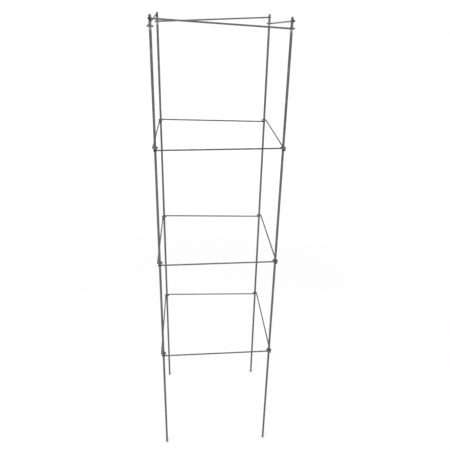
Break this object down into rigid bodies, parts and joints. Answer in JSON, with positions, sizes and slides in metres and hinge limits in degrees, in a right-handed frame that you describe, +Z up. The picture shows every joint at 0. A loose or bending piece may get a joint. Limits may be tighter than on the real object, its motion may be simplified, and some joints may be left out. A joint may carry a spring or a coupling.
{
  "type": "folding tomato cage",
  "caption": "Square galvanised wire plant support: welded panels hinged on each other's legs by wire eyes, so the open cage folds flat for storage.",
  "frame": {"origin": "on the ground at the middle of the square between the four feet", "axes": "+Z up along the legs, -Y towards the front side, +X towards the right side as seen from the front"},
  "size_m": [0.3148, 0.3148, 1.22],
  "materials": {
    "leg_wire": "galvanised, satin dark grey zinc with fine drawn streaks",
    "rung_wire": "galvanised, satin dark grey zinc with fine drawn streaks",
    "weld_metal": "weld metal with dark scale and traces of zinc, dull and slightly rough"
  },
  "bodies": {
    "front_panel": {"front_left_leg": "leg_wire", "front_lower_rung": "rung_wire", "front_middle_rung": "rung_wire", "front_upper_rung": "rung_wire", "front_top_rung": "rung_wire", "front_lower_weld": "weld_metal", "front_middle_weld": "weld_metal", "front_upper_weld": "weld_metal", "front_top_weld": "weld_metal"},
    "right_panel": {"front_right_leg": "leg_wire", "right_lower_rung": "rung_wire", "right_middle_rung": "rung_wire", "right_upper_rung": "rung_wire", "right_top_rung": "rung_wire", "right_lower_weld": "weld_metal", "right_middle_weld": "weld_metal", "right_upper_weld": "weld_metal", "right_top_weld": "weld_metal"},
    "back_panel": {"back_right_leg": "leg_wire", "back_lower_rung": "rung_wire", "back_middle_rung": "rung_wire", "back_upper_rung": "rung_wire", "back_top_rung": "rung_wire", "back_lower_weld": "weld_metal", "back_middle_weld": "weld_metal", "back_upper_weld": "weld_metal", "back_top_weld": "weld_metal"},
    "left_panel": {"back_left_leg": "leg_wire", "left_lower_rung": "rung_wire", "left_middle_rung": "rung_wire", "left_upper_rung": "rung_wire", "left_top_rung": "rung_wire", "left_lower_weld": "weld_metal", "left_middle_weld": "weld_metal", "left_upper_weld": "weld_metal", "left_top_weld": "weld_metal"}
  },
  "joints": [
    {"name": "front_right_hinge", "type": "hinge", "parent": "front_panel", "child": "right_panel", "pos_m": [0.15, -0.15, 0], "axis": [0, 0, 1], "range_deg": [-87, 87]},
    {"name": "back_right_hinge", "type": "hinge", "parent": "right_panel", "child": "back_panel", "pos_m": [0.15, 0.15, 0], "axis": [0, 0, 1], "range_deg": [-87, 87]},
    {"name": "back_left_hinge", "type": "hinge", "parent": "back_panel", "child": "left_panel", "pos_m": [-0.15, 0.15, 0], "axis": [0, 0, 1], "range_deg": [-87, 87]}
  ],
  "couplings": [
    {"joint": "back_right_hinge", "follows": "front_right_hinge", "ratio": -1},
    {"joint": "back_left_hinge", "follows": "front_right_hinge", "ratio": 1}
  ]
}
